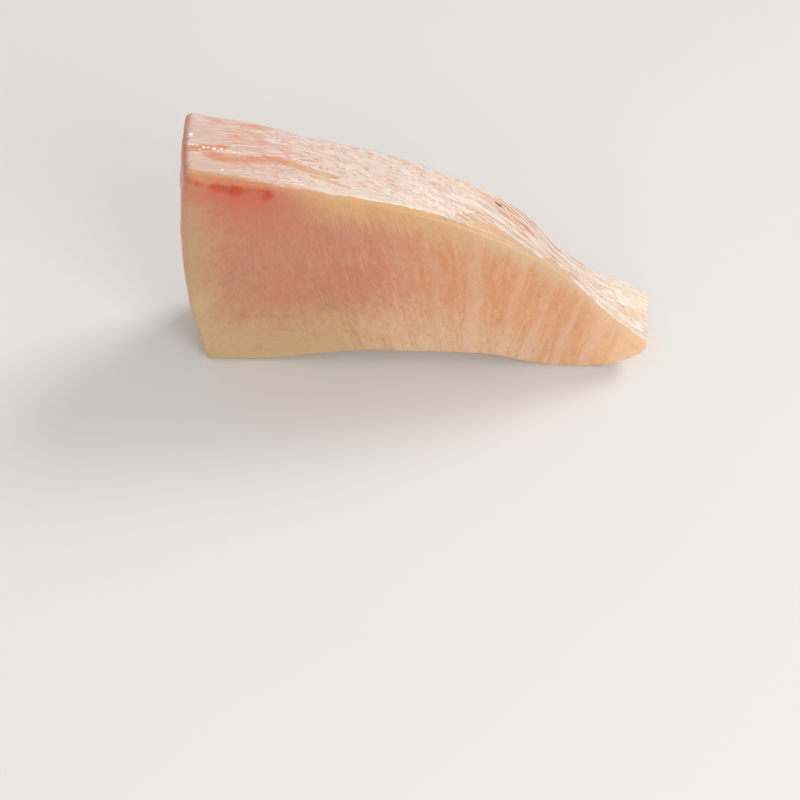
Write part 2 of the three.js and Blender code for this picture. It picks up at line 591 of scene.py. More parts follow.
class Signal:
    """A number that varies over a surface, held as a shader socket. Arithmetic on it adds Math nodes."""

    def __init__(self, recipe: "Recipe", socket: Socket) -> None:
        """Wraps an output socket of a recipe's node."""
        self.recipe = recipe
        self.socket = socket

    def _math(self, operation: Operation, first: "Signal | float", second: "Signal | float") -> "Signal":
        """Adds a Math node on two values."""
        return self.recipe.signal("ShaderNodeMath", {"operation": operation.value}, {0: first, 1: second})

    def __add__(self, other: "Signal | float") -> "Signal":
        """Adds."""
        return self._math(Operation.ADD, self, other)

    def __radd__(self, other: float) -> "Signal":
        """Adds to a number."""
        return self._math(Operation.ADD, other, self)

    def __sub__(self, other: "Signal | float") -> "Signal":
        """Subtracts."""
        return self._math(Operation.SUBTRACT, self, other)

    def __rsub__(self, other: float) -> "Signal":
        """Subtracts from a number."""
        return self._math(Operation.SUBTRACT, other, self)

    def __mul__(self, other: "Signal | float") -> "Signal":
        """Multiplies."""
        return self._math(Operation.MULTIPLY, self, other)

    def __rmul__(self, other: float) -> "Signal":
        """Multiplies a number."""
        return self._math(Operation.MULTIPLY, other, self)

    def between(self, low: float, high: float) -> "Signal":
        """Eases from 0 at low to 1 at high, and runs the other way where low is the greater."""
        inputs = {"Value": self, "From Min": low, "From Max": high}
        return self.recipe.signal("ShaderNodeMapRange", {"interpolation_type": "SMOOTHSTEP"}, inputs)

    def hump(self, middle: float, reach: float) -> "Signal":
        """Peaks at 1 at the middle and falls to 0 a reach away on either side."""
        offset = (self - middle) * (1 / reach)
        return (offset * offset).between(1, 0)


class Recipe:
    """A material's node tree, built up from expressions.

    The numbers are the sockets of a Mix node that mixes colours.
    """

    MIX_FACTOR, MIX_UNDER, MIX_OVER, MIX_COLOUR = 0, 6, 7, 2

    def __init__(self, name: str) -> None:
        """Starts an empty material with a principled shader.

        Args:
            name: The material's name.
        """
        self.material = bpy.data.materials.new(name)
        self.material.use_nodes = True
        self.tree = self.material.node_tree
        self.tree.nodes.clear()
        self.shader = self.node("ShaderNodeBsdfPrincipled")
        output = self.node("ShaderNodeOutputMaterial")
        self.tree.links.new(self.shader.outputs["BSDF"], output.inputs["Surface"])

    def node(self, kind: str, settings: Settings = None, inputs: Inputs = None) -> bpy.types.Node:
        """Adds a node.

        Args:
            kind: The node's type.
            settings: Its own properties, set first.
            inputs: The values or links of its sockets, by name or number.

        Returns:
            The node.
        """
        made = self.tree.nodes.new(kind)
        for name, value in (settings or {}).items():
            setattr(made, name, value)
        for key, value in (inputs or {}).items():
            self.feed(made.inputs[key], value)
        return made

    def feed(self, socket: Socket, value: object) -> None:
        """Links or sets a socket.

        Args:
            socket: The socket to feed.
            value: A signal, another socket, a number or a tuple.
        """
        if isinstance(value, Signal):
            value = value.socket
        if isinstance(value, Socket):
            self.tree.links.new(value, socket)
        elif isinstance(value, tuple) and socket.type == "RGBA":
            socket.default_value = (*value, 1)
        else:
            socket.default_value = value

    def signal(self, kind: str, settings: Settings = None, inputs: Inputs = None) -> Signal:
        """Adds a node and wraps its first output."""
        return Signal(self, self.node(kind, settings, inputs).outputs[0])

    def attribute(self, name: str) -> bpy.types.Node:
        """Adds a node that reads what the mesh carries under a name."""
        return self.node("ShaderNodeAttribute", {"attribute_name": name, "attribute_type": "GEOMETRY"})

    def number(self, name: str) -> Signal:
        """Reads a number that the mesh carries."""
        return Signal(self, self.attribute(name).outputs["Fac"])

    def vector(self, name: str) -> Socket:
        """Reads a vector that the mesh carries."""
        return self.attribute(name).outputs["Vector"]

    def parts(self, name: str) -> list[Signal]:
        """Splits a vector that the mesh carries into its three numbers."""
        made = self.node("ShaderNodeSeparateXYZ", inputs={0: self.vector(name)})
        return [Signal(self, output) for output in made.outputs]

    def stretched(self, vector: Socket, by: Triple) -> Socket:
        """Scales a vector by a factor on each axis."""
        settings = {"operation": Operation.MULTIPLY.value}
        return self.node("ShaderNodeVectorMath", settings, {0: vector, 1: by}).outputs[0]

    def noise(
        self, vector: Socket, frequency: Triple, detail: float = 2.0, rough: float = 0.5, swirl: float = 0.0
    ) -> Signal:
        """Adds a noise texture.

        Args:
            vector: The coordinates.
            frequency: Cells in each unit of the three axes.
            detail: Octaves of finer noise.
            rough: How strong the finer octaves are.
            swirl: Distortion.

        Returns:
            The noise, about 0.5 on average.
        """
        inputs = {
            "Vector": self.stretched(vector, frequency),
            "Scale": 1.0,
            "Detail": detail,
            "Roughness": rough,
            "Distortion": swirl,
        }
        return self.signal("ShaderNodeTexNoise", {"noise_dimensions": "3D"}, inputs)

    def tint(self, factor: Signal | float, under: Socket | Colour, over: Socket | Colour) -> Socket:
        """Lays one colour over another.

        Args:
            factor: How much of the upper colour shows.
            under: The lower colour.
            over: The upper colour.

        Returns:
            The mixed colour.
        """
        inputs = {self.MIX_FACTOR: factor, self.MIX_UNDER: under, self.MIX_OVER: over}
        made = self.node("ShaderNodeMix", {"data_type": "RGBA", "clamp_factor": True}, inputs)
        return made.outputs[self.MIX_COLOUR]

    def layers(self, colour: Socket | Colour, *coats: tuple[Signal | float, Socket | Colour]) -> Socket:
        """Lays colours over another, one after the other.

        Args:
            colour: The lowest colour.
            coats: How much of each further colour shows, and that colour.

        Returns:
            The mixed colour.
        """
        for factor, over in coats:
            colour = self.tint(factor, colour, over)
        return colour

    def emboss(self, height: Signal) -> Socket:
        """Turns a height in millimetres into a bump."""
        made = self.node("ShaderNodeBump", inputs={"Strength": 1.0, "Distance": MM, "Height": height})
        return made.outputs["Normal"]

    def dress(self, **sockets: object) -> bpy.types.Material:
        """Feeds the principled shader.

        Args:
            sockets: Values or links by socket name, with underscores for spaces.

        Returns:
            The finished material.
        """
        for name, value in sockets.items():
            self.feed(self.shader.inputs[name.replace("_", " ")], value)
        return self.material


class Finish(Protocol):
    """What a piece is made of."""

    def material(self) -> bpy.types.Material:
        """Builds the finish."""


@dataclass(frozen=True)
class FleshFinish:
    """Moist raw belly flesh with its silver skin."""

    margin: Colour = ink(196, 158, 120)
    core: Colour = ink(198, 139, 113)
    peach: Colour = ink(217, 160, 119)
    gold: Colour = ink(217, 174, 120)
    rim: Colour = ink(219, 188, 152)
    foot: Colour = ink(206, 176, 130)
    flap_foot: Colour = ink(224, 192, 156)
    # Partly the flap's own paler flesh, partly painted light that passes through the thin flap.
    tip: Colour = ink(244, 208, 167)
    blush: Colour = ink(206, 112, 88)
    blood: Colour = ink(196, 70, 28)
    fat_line: Colour = ink(230, 190, 162)
    dark_flake: Colour = ink(210, 136, 88)
    deep_flake: Colour = ink(186, 112, 82)
    pale_flake: Colour = ink(228, 182, 158)
    loin_end: Colour = ink(216, 154, 122)
    bare_strip: Colour = ink(222, 152, 118)
    bare_rim: Colour = ink(208, 168, 133)
    rim_flush: Colour = ink(208, 128, 78)
    silver: Colour = ink(238, 219, 203)
    lilac: Colour = ink(230, 205, 196)
    strand: Colour = ink(252, 244, 233)
    rosy: Colour = ink(231, 190, 177)
    salmon: Colour = ink(228, 158, 126)
    milk: Colour = ink(216, 182, 166)
    # Rose-brown of the wrinkles, deepened as painted shade in them.
    groove_tone_and_shade: Colour = ink(200, 154, 128)
    furrow: Colour = ink(198, 140, 108)
    tan: Colour = ink(212, 158, 118)
    dull: Colour = ink(228, 208, 194)
    fan: Colour = ink(242, 222, 192)
    # White for the tangled threads near the flap's end, and for the painted highlights there.
    white_and_highlight: Colour = ink(255, 252, 245)
    wedge: Colour = ink(230, 184, 136)
    edge_white: Colour = ink(252, 244, 228)

    def flesh(self, recipe: Recipe) -> tuple[Socket, Signal]:
        """Colours the knife faces, the ends and the foot.

        Args:
            recipe: The material's nodes.

        Returns:
            The colour, and the height of the grain in millimetres.
        """
        along, _, up = recipe.parts("share")
        blood, flush, _ = recipe.parts("stain")
        flake = recipe.vector("flake")
        clouds = recipe.noise(flake, (0.13, 0.1, 0.11), detail=4, rough=0.6)
        mottle = recipe.noise(flake, (0.7, 0.3, 0.5), detail=3, rough=0.65)
        grain = recipe.noise(flake, (1.9, 0.9, 1.0), detail=2, rough=0.6, swirl=0.6)
        streaks = recipe.noise(flake, (1.9, 0.3, 0.24), detail=2, rough=0.6, swirl=0.3)
        lines = recipe.noise(flake, (1.3, 0.5, 0.17), detail=3, rough=0.62, swirl=0.4)
        patches = recipe.noise(flake, (0.32, 0.3, 0.26), detail=2)
        ticks = recipe.noise(flake, (2.2, 0.8, 0.35), detail=1)
        rings = recipe.noise(flake, (0.3, 0.8, 0.28), detail=3, rough=0.6, swirl=0.4)

        shift = (clouds - 0.5) * 0.3
        cloudy_up = up + shift
        inner = (along + shift * 0.4).between(0.0, 0.12) * cloudy_up.between(0.04, 0.46)
        low = cloudy_up.between(0.56, 0.05) * along.between(0.3, 0.5) * along.between(0.95, 0.7)
        band = (up + shift * 0.2).between(0.78, 0.985) * along.between(0.14, 0.3)
        # The faces grow paler from the loin end to the flap: partly the flesh's own tone, partly painted
        # light that stands in for light passing through the thin flap.
        ground = recipe.layers(
            self.margin,
            (cloudy_up.between(0.62, 0.2), self.foot),
            (inner, self.core),
            ((along + shift * 0.7).between(0.26, 0.7), self.peach),
            (low, self.flap_foot),
            (band * 0.9, recipe.tint(along.between(0.42, 0.7), self.gold, self.rim)),
            ((along + shift * 0.6).between(0.74, 1.04), self.tip),
        )

        banded = recipe.number("darkness") + (clouds - 0.5) * 0.9
        seen = along.between(0.2, 0.55) * up.between(1.0, 0.9)
        deepened = 0.5 + up.between(0.9, 0.5) * 0.6
        dark = banded.between(-0.2, 0.9) * (0.4 + 0.6 * streaks.between(0.42, 0.6)) * seen
        pale = banded.between(0.1, -0.9) * (0.65 + 0.35 * streaks.between(0.62, 0.4)) * seen
        loin_side = along.between(0.55, 0.3)
        muscle = recipe.tint(loin_side, self.dark_flake, self.deep_flake)
        calmer = 1 - loin_side * 0.55
        even = (1 - loin_side * (1 - inner) * 0.75) * (1 - band * 0.7)
        plain = 1 - pale * 0.5
        rough = plain * (1 - along.between(0.75, 0.9) * 0.55)
        lined = along.between(0.14, 0.42) * up.between(1.0, 0.9)
        grained = lined * along.between(1.0, 0.76) * (0.4 + clouds * 0.9) * (1 - pale * 0.6)
        faces = recipe.layers(
            ground,
            (dark * deepened * 0.32, self.dark_flake),
            (pale * deepened * 0.5, self.pale_flake),
            (lines.between(0.5, 0.64) * grained * 0.42, muscle),
            (lines.between(0.48, 0.34) * grained * calmer * 0.3, self.fat_line),
            (patches.between(0.5, 0.7) * loin_side * even * 0.25, muscle),
            (mottle.between(0.5, 0.72) * (0.22 + loin_side * 0.1) * plain * even, muscle),
            (mottle.between(0.5, 0.28) * calmer * 0.16, self.fat_line),
            (grain.between(0.5, 0.68) * rough * even * 0.36, muscle),
            (grain.between(0.48, 0.32) * rough * calmer * 0.18, self.fat_line),
            (flush * (0.75 + mottle * 0.5), self.blush),
            (blood * (0.3 + ticks * 1.1), self.blood),
        )

        loin_end = recipe.layers(
            self.loin_end,
            (cloudy_up.between(0.4, 0.1), self.margin),
            (rings.between(0.52, 0.4) * 0.3, self.dark_flake),
            (rings.between(0.5, 0.64) * 0.28, self.fat_line),
            (grain.between(0.5, 0.68) * 0.3, self.blush),
            (flush + up.between(0.8, 0.96) * 0.4, self.blush),
        )
        colour = recipe.tint(along.between(LOIN_END, 0.0), faces, loin_end)
        return colour, grain * 0.05 + streaks * 0.03 + mottle * 0.04 - 0.06

    def skin(self, recipe: Recipe) -> tuple[Socket, Signal]:
        """Colours the silver skin, with painted shade and highlights at its wrinkles and painted highlights
        near the flap's end.

        Args:
            recipe: The material's nodes.

        Returns:
            The colour, and the height of its fibres in millimetres.
        """
        along, across, _ = recipe.parts("share")
        _, salmon, milk = recipe.parts("stain")
        fibre = recipe.vector("fibre")
        clouds = recipe.noise(fibre, (0.16, 0.3, 0.0), detail=3, rough=0.6)
        strands = recipe.noise(fibre, (0.08, 2.1, 0.0), detail=2, rough=0.6)
        threads = recipe.noise(fibre, (0.36, 2.6, 0.0), detail=2, rough=0.6)
        ridges = recipe.noise(fibre, (0.62, 2.1, 0.0), detail=1.5, swirl=0.15)
        broken = recipe.noise(fibre, (0.7, 1.5, 0.7), detail=1)
        fine = recipe.noise(fibre, (0.25, 2.7, 0.0), detail=1, swirl=0.3)
        lace = recipe.noise(fibre, (0.9, 2.6, 0.0), detail=2, rough=0.6, swirl=0.5)

        flap_side, loin_side = along.between(0.5, 0.72), along.between(0.3, 0.16)
        calm = across.between(0.28, 0.16) * along.between(0.2, 0.3) * along.between(0.54, 0.44)
        far_side = across.between(0.4, 0.75) * along.hump(0.39, 0.22)
        rose = clouds.between(0.42, 0.62) * (0.6 - flap_side * 0.35 - far_side * 0.5)
        clouded = 1 - milk * 0.65
        blush = threads.between(0.54, 0.38) * (0.32 + loin_side * 0.48 - calm * 0.2 - far_side * 0.15)
        worn = along.hump(0.56, 0.08) * across.between(0.65, 0.4)
        lined = (along - across * 0.06).between(0.52, 0.62)
        bundle = along.hump(0.66, 0.11) * across.between(0.15, 0.4)
        whole = 1 - along.between(0.82, 0.9) * broken.between(0.58, 0.42) * 0.9
        loin_streaks = threads.between(0.52, 0.4) * along.hump(0.16, 0.16) * across.between(0.38, 0.5)
        loin_streaks = loin_streaks * clouds.between(0.4, 0.55)
        breaks = broken.between(0.44, 0.56) * (1 - calm * 0.8)
        grown = along.between(0.02, 0.24)
        # Each wrinkle is a dark dash with a pale line just beside it, two level lines of one noise. The dash
        # is partly a rose-brown mark and partly painted shade in the crease, and the pale line is a painted
        # highlight on its edge.
        dark = ridges.hump(0.5, 0.075) * breaks * grown
        pink = along.hump(0.86, 0.06) * across.hump(0.65, 0.4)
        fanned = along.between(0.84, 0.96) * across.between(0.3, 0.7)
        # Painted highlights: two bright patches near the flap's end stand in for the light's sheen on the
        # sloping skin side.
        white_and_highlight = along.hump(0.94, 0.045) * across.hump(0.5, 0.22)
        white_and_highlight = white_and_highlight + along.hump(0.955, 0.035) * across.hump(0.13, 0.08)
        tight = along.hump(0.72, 0.11)
        bright = (lined - fanned * 0.3) * (0.55 + tight * 0.4)
        sunken = lined * whole * (0.75 + tight * 0.25 - fanned * 0.3)
        laced = along.between(0.78, 0.88)
        colour = recipe.layers(
            self.silver,
            (loin_side, self.lilac),
            (rose * (1 - calm * 0.8), self.rosy),
            (milk * 0.8, self.milk),
            (blush * clouded, self.rosy),
            ((calm + worn) * 0.5, self.dull),
            (along.between(0.7, 0.78) * 0.35, self.strand),
            (threads.between(0.53, 0.64) * (0.28 + loin_side * 0.25) * clouded, self.strand),
            (strands.between(0.54, 0.62) * (0.1 + lined * 0.4) * (1 - bundle * 0.75), self.strand),
            (strands.between(0.47, 0.39) * lined * whole * 0.75, self.furrow),
            (loin_streaks * 0.85 + salmon * (0.1 + threads * 1.3), self.salmon),
            # Painted highlight beside each wrinkle.
            (ridges.hump(0.61, 0.07) * breaks * (0.32 - loin_side * 0.12), self.strand),
            # The wrinkle's dash: partly a rose-brown mark, partly painted shade.
            (dark * (0.6 - lined * 0.32), self.groove_tone_and_shade),
            (pink * 0.35, self.rosy),
            (fanned * 0.65, self.fan),
            (white_and_highlight * threads.between(0.35, 0.6) * 0.5, self.white_and_highlight),
            (fine.between(0.56, 0.63) * bright, self.strand),
            (fine.between(0.47, 0.39) * sunken, self.furrow),
            (salmon * along.between(0.74, 0.8) * (0.3 + threads * 0.7), self.wedge),
            (lace.between(0.53, 0.62) * laced * 0.45, self.wedge),
            (lace.between(0.46, 0.38) * laced * 0.5, self.white_and_highlight),
            (strands.between(0.6, 0.36) * bundle * 0.45, self.tan),
        )
        height = (strands - 0.5) * (0.04 + flap_side * 0.08) + (threads - 0.5) * 0.05
        height = height + (fine - 0.5) * lined * (0.08 + tight * 0.05)
        height = height + (0.5 - lace) * laced * 0.06
        return colour, height + (ridges.between(0.42, 0.6) - 0.5) * 0.05 * grown - dark * 0.02

    def bare(self, recipe: Recipe) -> Socket:
        """Colours the flesh of the top where the silver skin is gone.

        Args:
            recipe: The material's nodes.

        Returns:
            The colour.
        """
        along, across, _ = recipe.parts("share")
        streaks = recipe.noise(recipe.vector("fibre"), (0.5, 2.4, 0.0), detail=3, rough=0.65, swirl=0.3)
        low = across.between(0.13, 0.04)
        inner = across.between(0.1, 0.17) * along.between(0.42, 0.35)
        threaded = streaks.between(0.5, 0.66) * (along.between(0.25, 0.5) * 0.45 + inner * 0.25)
        crossed = streaks.between(0.52, 0.66) * along.between(0.48, 0.54)
        golden = low * along.between(0.26, 0.34) * (1 - crossed * 0.6)
        return recipe.layers(
            self.bare_strip,
            (along.between(0.3, 0.42) + across.between(0.2, 0.14), self.bare_rim),
            (low * along.between(0.3, 0.14) * 0.8, self.rim_flush),
            (inner * along.between(0.19, 0.28) * 0.8, self.rim),
            (threaded, self.edge_white),
            (streaks.between(0.49, 0.34) * (0.5 + along.between(0.5, 0.6) * 0.15), self.salmon),
            (golden, recipe.tint(along.between(0.42, 0.7), self.gold, self.bare_rim)),
        )

    def material(self) -> bpy.types.Material:
        """Builds the finish of the whole slice.

        Returns:
            The material.
        """
        recipe = Recipe("raw_belly_flesh")
        along, _, up = recipe.parts("share")
        flesh, grain = self.flesh(recipe)
        skin, fibres = self.skin(recipe)
        on_top = up.between(0.984, 0.998)
        frayed = recipe.noise(recipe.vector("fibre"), (0.6, 2.8, 0.0), detail=2)
        edge = recipe.number("bare") + (frayed - 0.5) * 0.6
        crisp, soft = edge.between(0.08, -0.1), edge.between(0.35, -0.3)
        cover = crisp + (soft - crisp) * along.between(0.36, 0.24)
        cover = cover * (up + (frayed - 0.5) * 0.03).between(0.968, 0.986)
        # A pale line along the skin's front edge: partly the skin's own pale edge, partly a painted highlight
        # along it.
        brink_and_highlight = edge.hump(-0.13, 0.12) * on_top * along.between(0.22, 0.4)
        return recipe.dress(
            Base_Color=recipe.layers(
                flesh, (on_top, self.bare(recipe)), (cover, skin), (brink_and_highlight * 0.6, self.edge_white)
            ),
            Roughness=0.38 - 0.05 * cover - fibres * 0.8 * cover,
            Normal=recipe.emboss(fibres * cover + grain * (1 - cover)),
            Subsurface_Weight=0.3,
            Subsurface_Radius=(1.0, 0.45, 0.28),
            Subsurface_Scale=0.0025,
            IOR=1.38,
            Coat_Weight=0.3,
            Coat_Roughness=0.15,
            Coat_IOR=1.35,
        )


@dataclass(frozen=True)
class ShredFinish:
    """Loose threads of silver skin, whiter than the rest where they dry."""

    colour: Colour = ink(248, 236, 220)
    root: Colour = ink(236, 208, 188)

    def material(self) -> bpy.types.Material:
        """Builds the finish of the shreds.

        Returns:
            The material.
        """
        recipe = Recipe("dry_silver_skin")
        streaks = recipe.noise(recipe.vector("fibre"), (1.2, 9.0, 0.0), detail=2)
        return recipe.dress(
            Base_Color=recipe.tint(streaks.between(0.35, 0.6), self.root, self.colour),
            Roughness=0.32 + streaks * 0.15,
            Normal=recipe.emboss(streaks * 0.04),
            Subsurface_Weight=0.2,
            Subsurface_Radius=(1.0, 0.6, 0.4),
            Subsurface_Scale=0.001,
            Coat_Weight=0.3,
            Coat_Roughness=0.15,
        )


@dataclass(frozen=True)
class BeadFinish:
    """Small beads of moisture, coloured near white and faintly glowing so that they show as painted glints.
    """

    # Near white with a warm rim, so the beads read as bright glints under any light: painted highlight.
    colour: Colour = ink(255, 248, 240)
    rim: Colour = ink(250, 224, 210)

    def material(self) -> bpy.types.Material:
        """Builds the finish of the beads.

        Returns:
            The material.
        """
        recipe = Recipe("painted_glint_moisture")
        clouds = recipe.noise(recipe.vector("fibre"), (2.5, 2.5, 2.5), detail=1)
        return recipe.dress(
            Base_Color=recipe.tint(clouds.between(0.4, 0.7) * 0.5, self.colour, self.rim),
            Roughness=0.2 + clouds * 0.1,
            Normal=recipe.emboss(clouds * 0.02),
            Coat_Weight=1.0,
            Coat_Roughness=0.05,
            # Painted glint: a faint glow, though the beads are no lamp.
            Emission_Color=self.colour,
            Emission_Strength=0.1,
        )


@dataclass(frozen=True)
class FleckFinish:
    """A dark fleck of the outer skin's pigment."""

    colour: Colour = ink(98, 62, 44)
    worn: Colour = ink(150, 104, 80)

    def material(self) -> bpy.types.Material:
        """Builds the finish of the fleck.

        Returns:
            The material.
        """
        recipe = Recipe("dark_pigment")
        streaks = recipe.noise(recipe.vector("fibre"), (2.0, 9.0, 0.0), detail=2)
        return recipe.dress(
            Base_Color=recipe.tint(streaks.between(0.45, 0.7) * 0.6, self.colour, self.worn),
            Roughness=0.3 + streaks * 0.2,
            Normal=recipe.emboss(streaks * 0.03),
        )


@dataclass(frozen=True)
class FloorFinish:
    """A plain pale matt floor."""

    colour: Colour = ink(232, 231, 229)

    def material(self) -> bpy.types.Material:
        """Builds the floor's finish."""
        return Recipe("pale_floor").dress(Base_Color=self.colour, Roughness=0.9, Specular_IOR_Level=0.1)


def show(name: str, data: bpy.types.ID) -> bpy.types.Object:
    """Adds an object to the scene.

    Args:
        name: Its name.
        data: Its mesh, light or camera.

    Returns:
        The object.
    """
    added = bpy.data.objects.new(name, data)
    bpy.context.scene.collection.objects.link(added)
    return added


def make_piece(
    name: str,
    points: np.ndarray,
    facets: Sequence[Sequence[int]],
    carried: Mapping[str, np.ndarray],
    finish: Finish,
) -> bpy.types.Object:
    """Makes a smooth mesh object that rides on the slice's body.

    Args:
        name: The piece's name.
        points: Its corners in millimetres.
        facets: The corners of each facet.
        carried: Numbers or vectors that each corner carries for the shader.
        finish: What it is made of.

    Returns:
        The object.
    """
    mesh = bpy.data.meshes.new(name)
    mesh.from_pydata((points * MM).tolist(), [], facets)
    for label, values in carried.items():
        kind, key = ("FLOAT_VECTOR", "vector") if values.ndim == 2 else ("FLOAT", "value")
        layer = mesh.attributes.new(label, kind, "POINT")
        layer.data.foreach_set(key, values.astype(np.float32).ravel())
    mesh.polygons.foreach_set("use_smooth", np.ones(len(mesh.polygons), bool))
    mesh.update()
    piece = show(name, mesh)
    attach(piece, BODY)
    mesh.materials.append(finish.material())
    log.info("%s: %d corners, %d facets", name, len(mesh.vertices), len(mesh.polygons))
    return piece


@dataclass
class BellySlice:
    """The slice itself.

    Attributes:
        form: Its outline.
        skin: Its silver skin.
        complexion: Its stains.
        finish: What it is made of.
        facets: Facets along, across and up.
        crowding: How much the facets crowd towards the edges on each axis.
        skin_start: Share up from which the relief of the skin side sets in.
        leaning: How far a muscle flake leans for each millimetre of height, by share along.
        lean_level: Height in millimetres at which the lean moves nothing.
        flakes: How dark and sunken the flakes are, from -1 to 1, by millimetres along them.
        flake_depth: Half of the depth between the flakes, in millimetres.
        flake_wander: How far the flakes wander, in millimetres.
        wander: Shares of the wandering that the drift and the jitter have.
        grain_depth: Depth of the grain of the knife faces, in millimetres.
        dent_depth: Depth of their dents in millimetres.
        end_depth: Depth of the grain of the two ends, in millimetres.
        fading: How sharply the grain of the faces, and that of the ends, fades inwards.
        probe: Shares along and across over which the slope of the skin side is read.
        grain: Grain of the knife faces.
        dents: Soft dents in the knife faces.
        end_grain: Grain of the two ends.
        drift: Where the flakes wander.
        jitter: Where they wander over a shorter way.
    """

    form: SliceForm = field(default_factory=SliceForm)
    skin: SilverSkin = field(default_factory=SilverSkin)
    complexion: Complexion = field(default_factory=Complexion)
    finish: Finish = field(default_factory=FleshFinish)
    facets: tuple[int, int, int] = (320, 96, 40)
    crowding: Triple = (0.3, 0.3, 0.75)
    skin_start: float = 0.93
    leaning: Curve = Curve((
        (0, -0.3), (0.12, -0.3), (0.24, 0.1), (0.36, 0.24), (0.48, 0.2), (0.54, 0.13),
        (0.59, 0.03), (0.65, -0.03), (0.72, -0.13), (0.82, -0.19), (0.9, -0.26), (1, -0.3),
    ))
    lean_level: float = 14.0
    flakes: Curve = Curve((
        (18, 0), (20.2, 0.3), (21.5, -0.2), (22.6, 0.4), (24.8, -0.3), (27.8, 0.4), (30.4, -0.4), (32, 0.1),
        (33.4, -0.3), (36, 0.5), (37.2, -0.4), (38.8, 0.7), (39.6, 0.3), (40.4, 0.5), (42.4, -0.9),
        (44.4, 0.7), (45.4, 0.3), (46.5, 0.8), (48.3, -0.9), (49.9, 0.8), (50.7, 0.5), (51.6, 0.9),
        (53.4, -1), (55.1, 0.9), (56, 0.6), (57, 0.9), (58.4, -0.9), (59.8, 0.9), (60.8, 0.5), (61.8, 0.9),
        (63.8, -1), (65.6, 0.8), (66.4, 0.4), (67.4, 0.8), (68.8, -0.3), (71, 0.2),
    ))
    flake_depth: float = 0.065
    flake_wander: float = 0.55
    wander: Span = (0.7, 0.3)
    grain_depth: float = 0.035
    dent_depth: float = 0.07
    end_depth: float = 0.15
    fading: tuple[int, int] = (6, 20)
    probe: Span = (0.004, 0.016)
    grain: Unevenness = Unevenness(31, (0.8, 3, 1.6))
    dents: Unevenness = Unevenness(32, (2.2, 6, 5))
    end_grain: Unevenness = Unevenness(33, (1 / 40, 1.5, 2.5))
    drift: Unevenness = Unevenness(34, (4, 6, 5))
    jitter: Unevenness = Unevenness(35, (1.6, 3, 3.5))

    def lattice(self) -> tuple[np.ndarray, np.ndarray]:
        """Lays facets over the six sides of a block.

        Returns:
            The shares of the corners, and the corners of each facet.
        """
        numbers = np.full([count + 1 for count in self.facets], -1)
        outside = np.zeros(numbers.shape, bool)
        for axis in range(3):
            np.moveaxis(outside, axis, 0)[[0, -1]] = True
        corners = np.argwhere(outside)
        numbers[outside] = np.arange(len(corners))
        shares = corners / np.array(self.facets)
        shares -= np.array(self.crowding) * wave(shares) / (2 * math.pi)
        facets = []
        for axis, end in itertools.product(range(3), (0, -1)):
            sheet = np.moveaxis(numbers, axis, 0)[end]
            ring = (sheet[:-1, :-1], sheet[1:, :-1], sheet[1:, 1:], sheet[:-1, 1:])
            facet = np.stack(ring, -1).reshape(-1, 4)
            inward = (end == 0) != (axis == 1)
            facets.append(facet[:, ::-1] if inward else facet)
        return shares, np.concatenate(facets)

    def flake(self, shares: np.ndarray, places: np.ndarray) -> np.ndarray:
        """Lays coordinates along the muscle flakes, which lean one way, then the other."""
        x, y, z = split(places)
        return np.stack((x + self.leaning.at(shares[..., 0]) * (z - self.lean_level), y, z), -1)

    def darkness(self, flake: np.ndarray) -> np.ndarray:
        """Measures how dark the flakes are.

        Args:
            flake: Flake coordinates.

        Returns:
            Darkness from -1 to 1.
        """
        w, y, z = split(flake)
        uneven = self.wander[0] * self.drift.at(w, y, z) + self.wander[1] * self.jitter.at(w, y, z)
        return self.flakes.at(w + self.flake_wander * uneven)

    def shaped(self, shares: np.ndarray) -> np.ndarray:
        """Places points with the relief of the skin side and the knife faces.

        Args:
            shares: Shares along, across and up.

        Returns:
            Places in millimetres, from the foot of the loin end on the shown face.
        """
        along, across, up = split(shares)
        places = self.form.place(shares)
        on_skin = smooth(up, self.skin_start, 1) * np.sqrt(arch(across))
        places[..., 2] += on_skin * self.skin.relief(self.form, shares)
        flake = self.flake(shares, places)
        w, y, z = split(flake)
        flakes = -self.flake_depth * self.darkness(flake)
        flakes = flakes + self.grain_depth * self.grain.at(w, y, z)
        flakes = flakes + self.dent_depth * self.dents.at(w, y, z)
        on_face = np.abs(2 * across - 1) ** self.fading[0] * np.sqrt(arch(up))
        places[..., 1] += on_face * flakes * np.sign(across - 0.5)
        on_end = np.abs(2 * along - 1) ** self.fading[1] * np.sqrt(arch(up))
        places[..., 0] += on_end * self.end_depth * self.end_grain.at(along, y, z) * np.sign(along - 0.5)
        return places

    def skin_side(self, along: np.ndarray, across: np.ndarray) -> tuple[np.ndarray, np.ndarray]:
        """Finds points on the skin side and the way up from it.

        Args:
            along: Shares along.
            across: Shares across.

        Returns:
            Places in the slice's frame and unit normals, in millimetres.
        """

        def at(first: np.ndarray, second: np.ndarray) -> np.ndarray:
            """Places points of the skin side."""
            return self.shaped(self.form.rounded(np.stack((first, second, np.ones_like(first)), -1)))

        step, side = self.probe
        ahead = at(along + step, across) - at(along - step, across)
        normal = np.cross(ahead, at(along, across + side) - at(along, across - side))
        normal /= np.linalg.norm(normal, axis=-1, keepdims=True)
        return at(along, across) + self.form.origin(), normal

    def build(self) -> bpy.types.Object:
        """Builds and dresses the slice.

        Returns:
            The piece.
        """
        shares, facets = self.lattice()
        shares = self.form.rounded(shares)
        places = self.shaped(shares)
        flake = self.flake(shares, places)
        carried = {
            "share": shares,
            "fibre": self.skin.fibre(self.form, shares),
            "flake": flake,
            "darkness": self.darkness(flake),
            "stain": self.complexion.tones(self.form, shares),
            "bare": self.skin.bareness(self.form, shares),
        }
        points = places + self.form.origin()
        piece = make_piece("slice_flesh", points, facets.tolist(), carried, self.finish)
        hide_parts(NODE)
        return piece


